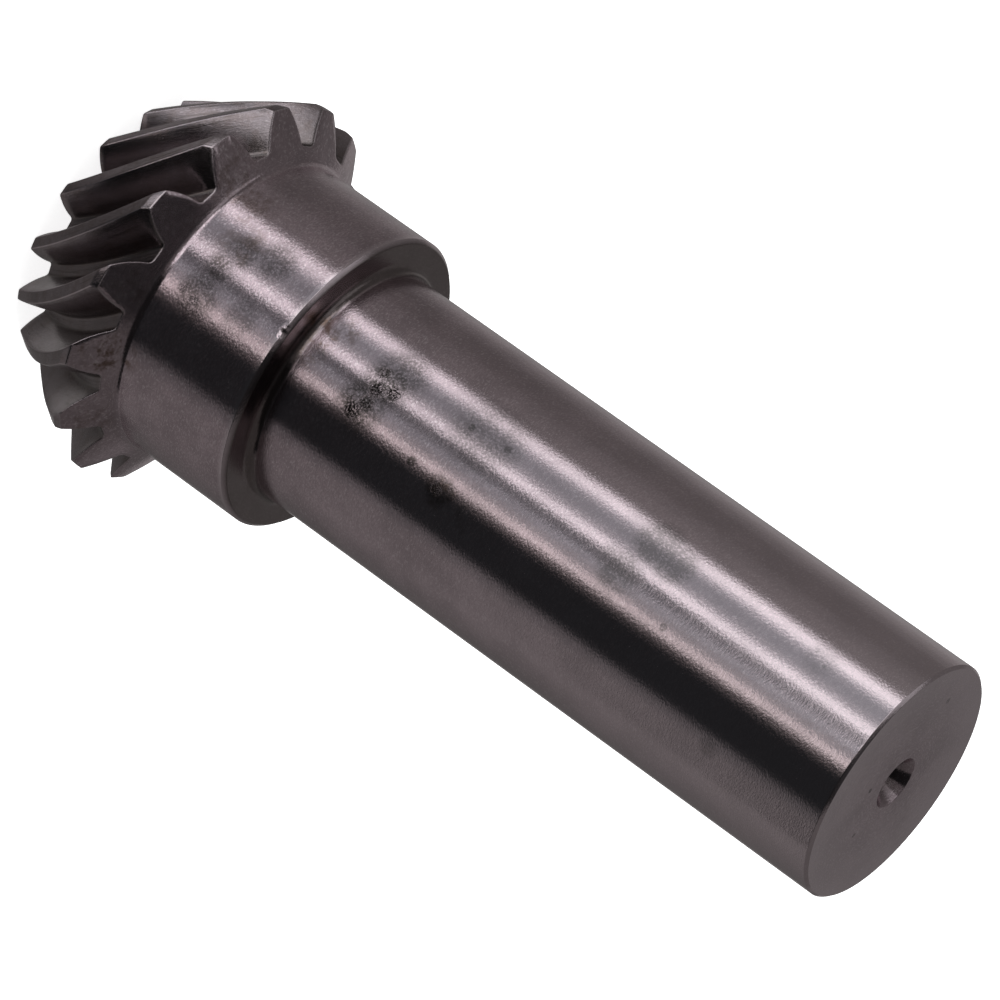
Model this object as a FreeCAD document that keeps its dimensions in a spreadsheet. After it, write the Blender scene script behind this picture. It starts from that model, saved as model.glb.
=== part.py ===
# A steel spiral bevel pinion, forged and turned in one piece with its collar and plain shaft.
# It stands on the small ends of its teeth: the pinion's axis is +Z, the teeth are at the foot and the shaft
# end is on top. The origin is on the axis, in the plane of the toe tips. All lengths are in millimetres.
import FreeCAD, Part
import os
import Sketcher

NAME = "bevel_pinion_shaft"
STATION_COUNT = 6
FULL_TURN = 360.0
SAME_SIZE = 0.001

# Names for a corner's radius on the axis and its height on the plane of the toe tips
AXIS = "axis"
BASE = "base"

# What someone would change on the drawing, one row for each size.
DRIVING_SIZES = [
    ("tooth_count", 15, "teeth of this pinion"),
    ("mate_tooth_count", 30, "teeth of the wheel that it drives, which sets the pitch cone"),
    ("gear_module", 3.0, "pitch diameter at the heel over the tooth count"),
    ("face_width", 16.5, "length of a tooth along the pitch cone"),
    ("spiral_angle", 36.0, "tooth slope at the middle of the face, left hand"),
    ("cutter_radius", 44.45, "radius of the face mill that sweeps the tooth spaces"),
    ("pressure_angle", 20.0, "flank angle square to the tooth"),
    ("heel_addendum", 3.2, "tooth height above the pitch cone at the heel"),
    ("heel_dedendum", 1.8, "space depth below the pitch cone at the heel"),
    ("heel_tooth_thickness", 5.5, "tooth thickness on the pitch cone at the heel"),
    ("crown_land_length", 0.95, "short cylindrical land that trims the crown"),
    ("back_cone_angle", 29.6, "slope of the heel face against the plane of rotation"),
    ("front_cone_angle", 22.8, "slope of the toe face against the plane of rotation"),
    ("front_face_diameter", 20.0, "flat in the middle of the toe face"),
    ("collar_diameter", 38.2, "bearing collar behind the teeth"),
    ("collar_length", 16.6, "from the foot of the back cone to the shoulder"),
    ("collar_fillet", 1.0, "between back cone and collar"),
    ("collar_chamfer", 0.5, "edge of the shoulder"),
    ("shaft_diameter", 30.0, "plain shaft"),
    ("shaft_length", 81.2, "from the shoulder to the shaft end"),
    ("shoulder_fillet", 1.2, "between shoulder and shaft"),
    ("shaft_chamfer", 0.35, "edge of the shaft end"),
    ("centre_mouth_diameter", 6.4, "mouth of the centre holes"),
    ("centre_pilot_diameter", 3.15, "drilled pilot of the centre holes"),
    ("centre_depth", 7.2, "depth of a centre hole to the full pilot diameter"),
    ("centre_cone_angle", 60.0, "seat for a lathe centre"),
    ("drill_point_angle", 118.0, "bottom of the pilot"),
    ("cutter_overrun", 1.6, "travel of the cutter past both ends of a tooth"),
]

# What follows from them, worked out in the sheet.
DERIVED_SIZES = [
    ("pitch_angle", "atan(tooth_count / mate_tooth_count)"),
    ("heel_pitch_radius", "gear_module * tooth_count / 2"),
    ("heel_cone_distance", "heel_pitch_radius / sin(pitch_angle)"),
    ("toe_cone_distance", "heel_cone_distance - face_width"),
    ("middle_cone_distance", "heel_cone_distance - face_width / 2"),
    ("heel_apex_distance", "heel_cone_distance * cos(pitch_angle)"),
    ("face_angle", "pitch_angle + atan(heel_addendum / heel_cone_distance)"),
    ("front_slope", "tan(front_cone_angle)"),
    ("back_slope", "tan(back_cone_angle)"),
    ("toe_pitch_reach", "toe_cone_distance * (cos(pitch_angle) + front_slope * sin(pitch_angle))"),
    ("apex_drop", "toe_pitch_reach / (1 + front_slope * tan(face_angle))"),
    ("toe_tip_radius", "apex_drop * tan(face_angle)"),
    ("back_reach", "heel_apex_distance + back_slope * heel_pitch_radius"),
    ("crown_radius", "(back_reach - crown_land_length) / (back_slope + 1 / tan(face_angle))"),
    ("crown_low_height", "crown_radius / tan(face_angle) - apex_drop"),
    ("crown_high_height", "crown_low_height + crown_land_length"),
    ("collar_radius", "collar_diameter / 2"),
    ("collar_foot_height", "back_reach - back_slope * collar_radius - apex_drop"),
    ("shoulder_height", "collar_foot_height + collar_length"),
    ("shaft_radius", "shaft_diameter / 2"),
    ("shaft_end_height", "shoulder_height + shaft_length"),
    ("front_face_radius", "front_face_diameter / 2"),
    ("front_face_height", "front_slope * (toe_tip_radius - front_face_radius)"),
    ("centre_mouth_radius", "centre_mouth_diameter / 2"),
    ("centre_pilot_radius", "centre_pilot_diameter / 2"),
    ("centre_cone_depth", "(centre_mouth_radius - centre_pilot_radius) / tan(centre_cone_angle / 2)"),
    ("centre_point_depth", "centre_depth + centre_pilot_radius / tan(drill_point_angle / 2)"),
    ("lower_cone_height", "front_face_height + centre_cone_depth"),
    ("lower_pilot_height", "front_face_height + centre_depth"),
    ("lower_point_height", "front_face_height + centre_point_depth"),
    ("upper_cone_height", "shaft_end_height - centre_cone_depth"),
    ("upper_pilot_height", "shaft_end_height - centre_depth"),
    ("upper_point_height", "shaft_end_height - centre_point_depth"),
]

# The space between two teeth at the heel, on the plane square to the pitch cone. On that plane the teeth are
# those of a larger spur gear with involute flanks. A flank point has a rise above the pitch cone and a half
# width from the middle of the space.
SPACE_SIZES = [
    ("virtual_radius", "heel_cone_distance * tan(pitch_angle)"),
    ("transverse_angle", "atan(tan(pressure_angle) / cos(spiral_angle))"),
    ("base_radius", "virtual_radius * cos(transverse_angle)"),
    ("transverse_involute", "tan(transverse_angle) * 180 / pi - transverse_angle / 1 deg"),
    ("tooth_half_angle", "heel_tooth_thickness / (2 * virtual_radius) * 180 / pi"),
    ("pitch_space_angle", "180 * cos(pitch_angle) / tooth_count - tooth_half_angle"),
]
FLANK_HEIGHTS = {
    "root": "-heel_dedendum",
    "middle": "(heel_addendum - heel_dedendum) / 2",
    "outer": "heel_addendum + cutter_overrun / 2",
}

# The lathe's fillets and chamfers: kind, name, size, and the radius and height of the edge
DRESSED_EDGES = [
    ("Fillet", "shoulder_root", "shoulder_fillet", "shaft_radius", "shoulder_height"),
    ("Fillet", "back_cone_root", "collar_fillet", "collar_radius", "collar_foot_height"),
    ("Chamfer", "shoulder_edge", "collar_chamfer", "collar_radius", "shoulder_height"),
    ("Chamfer", "shaft_edge", "shaft_chamfer", "shaft_radius", "shaft_end_height"),
]

# The face mill's edge is a circle in the crown plane. Rolled onto the pitch cone it is the curve of a tooth.
CUTTER_SIZES = [
    ("cutter_x", "middle_cone_distance - cutter_radius * sin(spiral_angle)"),
    ("cutter_y", "cutter_radius * cos(spiral_angle)"),
    ("cutter_distance", "sqrt(cutter_x ^ 2 + cutter_y ^ 2)"),
    ("cutter_bearing", "atan2(cutter_y; cutter_x)"),
    ("first_distance", "toe_cone_distance - cutter_overrun"),
    ("last_distance", "heel_cone_distance + cutter_overrun"),
]


def flank_point_sizes(level, height):
    """The involute point of a flank at one height above the pitch cone."""
    return [
        (f"{level}_radius", f"virtual_radius + {height}"),
        (f"{level}_angle", f"acos(base_radius / {level}_radius)"),
        (f"{level}_involute", f"tan({level}_angle) * 180 / pi - {level}_angle / 1 deg"),
        (f"{level}_space_angle", f"pitch_space_angle - transverse_involute + {level}_involute"),
        (f"{level}_rise", f"{level}_radius * cos({level}_space_angle) - virtual_radius"),
        (f"{level}_half_width", f"{level}_radius * sin({level}_space_angle)"),
    ]


def station_sizes(number):
    """A stop of the cutter along the tooth: cone distance, share of the heel's size, turn about the axis."""
    share = number / (STATION_COUNT - 1)
    here = f"distance_{number}"
    squares = f"{here} ^ 2 + cutter_distance ^ 2 - cutter_radius ^ 2"
    return [
        (here, f"first_distance + {share:.6f} * (last_distance - first_distance)"),
        (f"scale_{number}", f"{here} / heel_cone_distance"),
        (f"cosine_{number}", f"({squares}) / (2 * {here} * cutter_distance)"),
        (f"turn_{number}", f"(acos(cosine_{number}) - cutter_bearing) / sin(pitch_angle)"),
        (f"radius_{number}", f"{here} * sin(pitch_angle)"),
        (f"height_{number}", f"{here} * cos(pitch_angle) - apex_drop"),
    ]


def make_sheet(doc):
    """Driving sizes with their meaning first, then everything that follows from them."""
    sheet = doc.addObject("Spreadsheet::Sheet", "Sizes")
    row = 0
    for alias, value, meaning in DRIVING_SIZES:
        row += 1
        sheet.set(f"A{row}", str(value))
        sheet.setAlias(f"A{row}", alias)
        sheet.set(f"B{row}", meaning)
    derived = DERIVED_SIZES + SPACE_SIZES + CUTTER_SIZES
    for level, height in FLANK_HEIGHTS.items():
        derived = derived + flank_point_sizes(level, height)
    for number in range(STATION_COUNT):
        derived = derived + station_sizes(number)
    for alias, formula in derived:
        row += 1
        sheet.set(f"A{row}", "=" + formula)
        sheet.setAlias(f"A{row}", alias)
    doc.recompute()
    return sheet


def number_in(sheet, alias):
    """A cell's value as a plain number, in millimetres or degrees. AXIS and BASE are zero."""
    if alias in (AXIS, BASE):
        return 0.0
    value = sheet.getPropertyByName(alias)
    return float(getattr(value, "Value", value))


def origin_feature(body, role):
    """A plane or axis of the body's own origin."""
    return next(item for item in body.Origin.OriginFeatures if item.Role == role)


def add_sketch(body, name, role):
    """An empty sketch on one of the body's origin planes."""
    sketch = body.newObject("Sketcher::SketchObject", name)
    sketch.AttachmentSupport = [(origin_feature(body, role), "")]
    sketch.MapMode = "FlatFace"
    return sketch


def bind(sketch, constraint, formula):
    """Adds a constraint and ties it to a formula."""
    index = sketch.addConstraint(constraint)
    sketch.setExpression(f"Constraints[{index}]", formula)


def draw_half_section(sketch, sheet, corners):
    """A closed outline of straight lines. A corner is a radius and a height, each named by its cell."""
    points = []
    for radius, height in corners:
        points.append(FreeCAD.Vector(number_in(sheet, radius), number_in(sheet, height), 0))
    count = len(points)
    for index in range(count):
        sketch.addGeometry(Part.LineSegment(points[index], points[(index + 1) % count]))
    for index in range(count):
        sketch.addConstraint(Sketcher.Constraint("Coincident", index, 2, (index + 1) % count, 1))
    for index, (radius, height) in enumerate(corners):
        point = points[index]
        if radius == AXIS:
            sketch.addConstraint(Sketcher.Constraint("PointOnObject", index, 1, -2))
        else:
            bind(sketch, Sketcher.Constraint("DistanceX", -1, 1, index, 1, point.x), f"Sizes.{radius}")
        if height == BASE:
            sketch.addConstraint(Sketcher.Constraint("PointOnObject", index, 1, -1))
        else:
            bind(sketch, Sketcher.Constraint("DistanceY", -1, 1, index, 1, point.y), f"Sizes.{height}")


def turn_blank(doc, body, sheet):
    """The turned blank: dished toe face, face cone, crown land, back cone, collar, shoulder and shaft."""
    sketch = add_sketch(body, "blank_section", "XZ_Plane")
    draw_half_section(sketch, sheet, [
        (AXIS, "front_face_height"),
        ("front_face_radius", "front_face_height"),
        ("toe_tip_radius", BASE),
        ("crown_radius", "crown_low_height"),
        ("crown_radius", "crown_high_height"),
        ("collar_radius", "collar_foot_height"),
        ("collar_radius", "shoulder_height"),
        ("shaft_radius", "shoulder_height"),
        ("shaft_radius", "shaft_end_height"),
        (AXIS, "shaft_end_height"),
    ])
    blank = body.newObject("PartDesign::Revolution", "turned_blank")
    blank.Profile = sketch
    blank.ReferenceAxis = (sketch, ["V_Axis"])
    blank.Angle = FULL_TURN
    doc.recompute()
    return blank


def circle_names(feature, radius, height):
    """The names of a feature's round edges of one radius, at one height on the axis."""
    names = []
    for index, edge in enumerate(feature.Shape.Edges):
        curve = edge.Curve
        if isinstance(curve, Part.Circle) and abs(curve.Radius - radius) < SAME_SIZE:
            if abs(curve.Center.z - height) < SAME_SIZE:
                names.append(f"Edge{index + 1}")
    return names


def dress_edge(doc, body, sheet, kind, name, size, radius, height):
    """A fillet or chamfer, as the lathe leaves it, on the edge of one radius at one height."""
    base = body.Tip
    edges = circle_names(base, number_in(sheet, radius), number_in(sheet, height))
    feature = body.newObject(f"PartDesign::{kind}", name)
    feature.Base = (base, edges)
    feature.setExpression("Radius" if kind == "Fillet" else "Size", f"Sizes.{size}")
    doc.recompute()
    return feature


def drill_centre(doc, body, sheet, end, mouth_height):
    """A centre hole, a seat cone with a pilot, in the lower or upper end."""
    sketch = add_sketch(body, f"{end}_centre_section", "XZ_Plane")
    draw_half_section(sketch, sheet, [
        (AXIS, mouth_height),
        ("centre_mouth_radius", mouth_height),
        ("centre_pilot_radius", f"{end}_cone_height"),
        ("centre_pilot_radius", f"{end}_pilot_height"),
        (AXIS, f"{end}_point_height"),
    ])
    hole = body.newObject("PartDesign::Groove", f"{end}_centre_hole")
    hole.Profile = sketch
    hole.ReferenceAxis = (sketch, ["V_Axis"])
    hole.Angle = FULL_TURN
    doc.recompute()
    return hole


def draw_space(sketch, sheet, number):
    """Draws and constrains one station's tooth space: root line, two round flanks and the open side."""
    points = {}
    scale = number_in(sheet, f"scale_{number}")
    for level in FLANK_HEIGHTS:
        rise = number_in(sheet, f"{level}_rise") * scale
        width = number_in(sheet, f"{level}_half_width") * scale
        points[level] = FreeCAD.Vector(rise, width, 0)
    mirrored = {level: FreeCAD.Vector(point.x, -point.y, 0) for level, point in points.items()}
    sketch.addGeometry([
        Part.LineSegment(mirrored["root"], points["root"]),
        Part.Arc(points["root"], points["middle"], points["outer"]),
        Part.LineSegment(points["outer"], mirrored["outer"]),
        Part.Arc(mirrored["outer"], mirrored["middle"], mirrored["root"]),
    ])
    sketch.addGeometry(Part.Point(points["middle"]), True)
    for constraint in [
        Sketcher.Constraint("Coincident", 0, 2, 1, 1),
        Sketcher.Constraint("Coincident", 1, 2, 2, 1),
        Sketcher.Constraint("Coincident", 2, 2, 3, 1),
        Sketcher.Constraint("Coincident", 3, 2, 0, 1),
        Sketcher.Constraint("Symmetric", 0, 1, 0, 2, -1),
        Sketcher.Constraint("Symmetric", 2, 1, 2, 2, -1),
        Sketcher.Constraint("Equal", 1, 3),
        Sketcher.Constraint("PointOnObject", 4, 1, 1),
    ]:
        sketch.addConstraint(constraint)
    for level, geometry, end in (("root", 0, 2), ("middle", 4, 1), ("outer", 1, 2)):
        point = points[level]
        rise = Sketcher.Constraint("DistanceX", -1, 1, geometry, end, point.x)
        bind(sketch, rise, f"Sizes.{level}_rise * Sizes.scale_{number}")
        width = Sketcher.Constraint("DistanceY", -1, 1, geometry, end, point.y)
        bind(sketch, width, f"Sizes.{level}_half_width * Sizes.scale_{number}")


def cut_spaces(doc, body, sheet):
    """Sweeps one tooth space through its stations and repeats it round the axis."""
    sections = []
    for number in range(STATION_COUNT):
        sketch = add_sketch(body, f"space_section_{number}", "XY_Plane")
        draw_space(sketch, sheet, number)
        sketch.setExpression(
            "AttachmentOffset",
            "create(<<placement>>; create(<<vector>>; 0; 0; 0);"
            f" create(<<rotation>>; create(<<vector>>; 0; 0; 1); Sizes.turn_{number}))"
            " * create(<<placement>>;"
            f" create(<<vector>>; Sizes.radius_{number}; 0; Sizes.height_{number});"
            " create(<<rotation>>; create(<<vector>>; 0; 1; 0); Sizes.pitch_angle))",
        )
        sections.append(sketch)
    doc.recompute()
    space = body.newObject("PartDesign::SubtractiveLoft", "tooth_space")
    space.Profile = sections[0]
    space.Sections = sections[1:]
    space.Ruled = False
    doc.recompute()
    spaces = body.newObject("PartDesign::PolarPattern", "tooth_spaces")
    spaces.Originals = [space]
    spaces.Axis = (origin_feature(body, "Z_Axis"), [""])
    spaces.Angle = FULL_TURN
    spaces.setExpression("Occurrences", "Sizes.tooth_count")
    body.Tip = spaces
    doc.recompute()
    return spaces


def check(doc, bodies):
    """Stops with a message if anything in the document failed."""
    for item in doc.Objects:
        if "Invalid" in item.State or "Error" in item.State:
            raise RuntimeError(f"{item.Name} failed: {item.State}")
    for body in bodies:
        if body.Shape.isNull() or not body.Shape.isValid() or len(body.Shape.Solids) != 1:
            raise RuntimeError(f"{body.Label} is not one valid solid")


def main():
    doc = FreeCAD.newDocument("bevel_pinion")
    sheet = make_sheet(doc)
    body = doc.addObject("PartDesign::Body", NAME)
    body.Label = NAME
    body.Placement = FreeCAD.Placement()
    turn_blank(doc, body, sheet)
    for kind, name, size, radius, height in DRESSED_EDGES:
        dress_edge(doc, body, sheet, kind, name, size, radius, height)
    drill_centre(doc, body, sheet, "lower", "front_face_height")
    drill_centre(doc, body, sheet, "upper", "shaft_end_height")
    cut_spaces(doc, body, sheet)
    check(doc, [body])
    os.makedirs("parts", exist_ok=True)
    body.Shape.exportStep(f"parts/{NAME}.step")
    box = body.Shape.BoundBox
    print(f"{NAME}: {box.XLength:.2f} x {box.YLength:.2f} x {box.ZLength:.2f} mm, "
          f"{body.Shape.Volume / 1000:.2f} cm3, {len(body.Shape.Faces)} faces")


main()
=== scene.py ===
import math

import bpy
import numpy as np
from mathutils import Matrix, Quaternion, Vector


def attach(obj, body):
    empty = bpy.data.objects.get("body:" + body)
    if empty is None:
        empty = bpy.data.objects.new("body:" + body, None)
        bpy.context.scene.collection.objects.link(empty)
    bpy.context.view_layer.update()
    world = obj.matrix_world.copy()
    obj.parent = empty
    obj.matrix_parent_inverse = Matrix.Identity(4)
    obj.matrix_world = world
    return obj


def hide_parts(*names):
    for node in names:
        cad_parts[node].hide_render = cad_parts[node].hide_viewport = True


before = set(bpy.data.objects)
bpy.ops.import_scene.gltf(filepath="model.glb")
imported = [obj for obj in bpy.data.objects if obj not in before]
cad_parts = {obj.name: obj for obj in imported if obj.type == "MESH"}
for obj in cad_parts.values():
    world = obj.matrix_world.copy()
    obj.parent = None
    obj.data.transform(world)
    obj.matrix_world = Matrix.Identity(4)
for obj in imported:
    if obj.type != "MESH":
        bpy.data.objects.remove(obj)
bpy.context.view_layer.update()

MM = 0.001
NODE = "bevel_pinion_shaft"

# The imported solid's sizes
TOOTH_COUNT = 15
MATE_TOOTH_COUNT = 30
GEAR_MODULE = 3.0
FACE_WIDTH = 16.5
SPIRAL_ANGLE = math.radians(36.0)
CUTTER_RADIUS = 44.45
PRESSURE_ANGLE = math.radians(20.0)
HEEL_ADDENDUM = 3.2
HEEL_DEDENDUM = 1.8
HEEL_TOOTH_THICKNESS = 5.5
CROWN_LAND_LENGTH = 0.95
BACK_CONE_ANGLE = math.radians(29.6)
FRONT_CONE_ANGLE = math.radians(22.8)
FRONT_FACE_RADIUS = 10.0
COLLAR_RADIUS = 19.1
COLLAR_LENGTH = 16.6
COLLAR_FILLET = 1.0
COLLAR_CHAMFER = 0.5
SHAFT_RADIUS = 15.0
SHAFT_LENGTH = 81.2
SHOULDER_FILLET = 1.2
SHAFT_CHAMFER = 0.35
CENTRE_MOUTH_RADIUS = 3.2
CENTRE_PILOT_RADIUS = 1.575
CENTRE_DEPTH = 7.2
CENTRE_CONE_ANGLE = math.radians(60.0)
DRILL_POINT_ANGLE = math.radians(118.0)
CUTTER_OVERRUN = 1.6

# Heights over the pitch cone at the heel: the flank is the arc through the root's point and these two
MIDDLE_HEIGHT = (HEEL_ADDENDUM - HEEL_DEDENDUM) / 2
OUTER_HEIGHT = HEEL_ADDENDUM + CUTTER_OVERRUN / 2

# The teeth's root fillets, the broken edges and the nicks, which only this mesh has
HEEL_ROOT_FILLET = 0.75
TIP_BREAK = 0.16
HEEL_BREAK = 0.14
TOE_BREAK = 0.12
TURNED_BREAK = 0.1
BREAK_ROUNDNESS = 0.6

# Nicks in the collar's edge: azimuth in degrees, height, reach and depth
NICKS = [
    (27.4, 33.7, 0.55, 0.22),
    (26.4, 33.9, 0.45, 0.16),
    (24.9, 33.8, 0.4, 0.12),
]

# How far below the collar's chamfer an extra ring lies, which keeps the nicks short
NICK_BAND = 0.7

# How far the mesh stays inside the solid at the crown
INSIDE = 0.001

# How fine the mesh is
ROOT_STEPS = 3
FILLET_STEPS = 4
FLANK_STEPS = 8
LAND_STEPS = 2
LENGTH_STEPS = 26
CROWN_ROWS = 4
CONE_STEPS = 4
ARC_STEPS = 4

# How close the rows lie on both sides of the crown land's start, as shares of a tooth's length
CLOSE_ROW = 0.006
NEXT_ROW = 0.02

# How far the toe cone's evenly spaced rings lie outside the flat in its middle
TOE_RIM = 2.0

# How far off the shaft the shoulder's painted shade starts
SHADE_GAP = 0.05

# How strong the painted shade is on the shoulder, at the bottom of a tooth space and at the foot of a flank
SHOULDER_SHADE = 0.85
ROOT_SHADE = 0.35
FLANK_FOOT_SHADE = 0.75

# Offsets that give the toe side and each tooth tool marks of their own
TOE_MARKS_START = 300.0
TOOTH_MARKS_STEP = 37.0

# What follows from the sizes
TOOTH_PITCH = 2 * math.pi / TOOTH_COUNT
PITCH_ANGLE = math.atan(TOOTH_COUNT / MATE_TOOTH_COUNT)
HEEL_DISTANCE = GEAR_MODULE * TOOTH_COUNT / 2 / math.sin(PITCH_ANGLE)
TOE_DISTANCE = HEEL_DISTANCE - FACE_WIDTH
MIDDLE_DISTANCE = HEEL_DISTANCE - FACE_WIDTH / 2
FACE_SLOPE = math.tan(PITCH_ANGLE + math.atan(HEEL_ADDENDUM / HEEL_DISTANCE))
FRONT_SLOPE = math.tan(FRONT_CONE_ANGLE)
BACK_SLOPE = math.tan(BACK_CONE_ANGLE)
TOE_REACH = TOE_DISTANCE * (math.cos(PITCH_ANGLE) + FRONT_SLOPE * math.sin(PITCH_ANGLE))
APEX_DROP = TOE_REACH / (1 + FRONT_SLOPE * FACE_SLOPE)
BACK_REACH = HEEL_DISTANCE * (math.cos(PITCH_ANGLE) + BACK_SLOPE * math.sin(PITCH_ANGLE))
CROWN_RADIUS = (BACK_REACH - CROWN_LAND_LENGTH) / (BACK_SLOPE + 1 / FACE_SLOPE)
COLLAR_FOOT = BACK_REACH - BACK_SLOPE * COLLAR_RADIUS - APEX_DROP
SHOULDER_HEIGHT = COLLAR_FOOT + COLLAR_LENGTH
SHAFT_TOP = SHOULDER_HEIGHT + SHAFT_LENGTH
FRONT_FACE_HEIGHT = FRONT_SLOPE * (APEX_DROP * FACE_SLOPE - FRONT_FACE_RADIUS)
CENTRE_CONE_DEPTH = (CENTRE_MOUTH_RADIUS - CENTRE_PILOT_RADIUS) / math.tan(CENTRE_CONE_ANGLE / 2)
CENTRE_POINT_DEPTH = CENTRE_DEPTH + CENTRE_PILOT_RADIUS / math.tan(DRILL_POINT_ANGLE / 2)

# The space between two teeth, on the plane square to the pitch cone at the heel
VIRTUAL_RADIUS = HEEL_DISTANCE * math.tan(PITCH_ANGLE)
TRANSVERSE_ANGLE = math.atan(math.tan(PRESSURE_ANGLE) / math.cos(SPIRAL_ANGLE))
BASE_RADIUS = VIRTUAL_RADIUS * math.cos(TRANSVERSE_ANGLE)
TOOTH_HALF_ANGLE = HEEL_TOOTH_THICKNESS / (2 * VIRTUAL_RADIUS)
PITCH_SPACE_ANGLE = math.pi * math.cos(PITCH_ANGLE) / TOOTH_COUNT - TOOTH_HALF_ANGLE

# The face mill's edge in the crown plane
CUTTER_X = MIDDLE_DISTANCE - CUTTER_RADIUS * math.sin(SPIRAL_ANGLE)
CUTTER_Y = CUTTER_RADIUS * math.cos(SPIRAL_ANGLE)
CUTTER_DISTANCE = math.hypot(CUTTER_X, CUTTER_Y)
CUTTER_BEARING = math.atan2(CUTTER_Y, CUTTER_X)


def involute(angle):
    return math.tan(angle) - angle


def flank_point(height):
    """Rise above the pitch cone and half width of the space, at one height of the heel's section."""
    radius = VIRTUAL_RADIUS + height
    turn = PITCH_SPACE_ANGLE - involute(TRANSVERSE_ANGLE) + involute(math.acos(BASE_RADIUS / radius))
    return np.array([radius * math.cos(turn) - VIRTUAL_RADIUS, radius * math.sin(turn)])


def circle_through(first, second, third):
    """Centre and radius of the circle through three points."""
    sides = np.array([second - first, third - first])
    squares = np.array([second @ second - first @ first, third @ third - first @ first])
    centre = np.linalg.solve(2 * sides, squares)
    return centre, float(np.linalg.norm(first - centre))


def section_on_cone(rise, width):
    """Radius, height over the apex and angle of a section's point, for a cone distance of one."""
    out = HEEL_DISTANCE * math.sin(PITCH_ANGLE) + rise * math.cos(PITCH_ANGLE)
    up = HEEL_DISTANCE * math.cos(PITCH_ANGLE) - rise * math.sin(PITCH_ANGLE)
    return np.hypot(out, width) / HEEL_DISTANCE, up / HEEL_DISTANCE, np.arctan2(width, out)


ROOT_POINT = flank_point(-HEEL_DEDENDUM)
MIDDLE_POINT = flank_point(MIDDLE_HEIGHT)
OUTER_POINT = flank_point(OUTER_HEIGHT)
FLANK_CENTRE, FLANK_RADIUS = circle_through(ROOT_POINT, MIDDLE_POINT, OUTER_POINT)
FILLET_X = ROOT_POINT[0] + HEEL_ROOT_FILLET
FILLET_REACH = FLANK_RADIUS + HEEL_ROOT_FILLET
FILLET_Y = FLANK_CENTRE[1] - math.sqrt(FILLET_REACH ** 2 - (FILLET_X - FLANK_CENTRE[0]) ** 2)
TOUCH_TURN = math.atan2(FILLET_Y - FLANK_CENTRE[1], FILLET_X - FLANK_CENTRE[0])
OUTER_TURN = math.atan2(OUTER_POINT[1] - FLANK_CENTRE[1], OUTER_POINT[0] - FLANK_CENTRE[0])


def flank_at(turn):
    """The flank arc's point on the unit cone."""
    rise = FLANK_CENTRE[0] + FLANK_RADIUS * np.cos(turn)
    width = FLANK_CENTRE[1] + FLANK_RADIUS * np.sin(turn)
    return section_on_cone(rise, width)


# The turn where the face cone cuts the flank, found between fine trial points, and the flank from root to tip
TRIAL_COUNT = 400
SHARE_COUNT = 200
SETTLING_ROUNDS = 20
TRIAL_TURNS = np.linspace(TOUCH_TURN, OUTER_TURN, TRIAL_COUNT)
TRIAL_RADII, TRIAL_HEIGHTS, _ = flank_at(TRIAL_TURNS)
TIP_TURN = float(np.interp(FACE_SLOPE, TRIAL_RADII / TRIAL_HEIGHTS, TRIAL_TURNS))
FLANK_SHARES = np.linspace(0.0, 1.0, SHARE_COUNT)
FLANK_RADII = flank_at(TOUCH_TURN + FLANK_SHARES * (TIP_TURN - TOUCH_TURN))[0]
FLANK_LENGTH = FLANK_RADIUS * (TIP_TURN - TOUCH_TURN)


def cutter_turn(distance):
    """How far the tooth has turned about the axis at a cone distance."""
    cosine = (distance ** 2 + CUTTER_DISTANCE ** 2 - CUTTER_RADIUS ** 2) / (2 * distance * CUTTER_DISTANCE)
    return (np.arccos(cosine) - CUTTER_BEARING) / math.sin(PITCH_ANGLE)


def cone_distance(radius, height, share, toe_trim, heel_trim):
    """The cone distance at a share of the way from toe cone to heel cone, for a point of the unit cone."""
    toe = TOE_REACH / (height + FRONT_SLOPE * radius) + toe_trim
    heel = BACK_REACH / (height + BACK_SLOPE * radius) - heel_trim
    return toe + share * (heel - toe)


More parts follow.
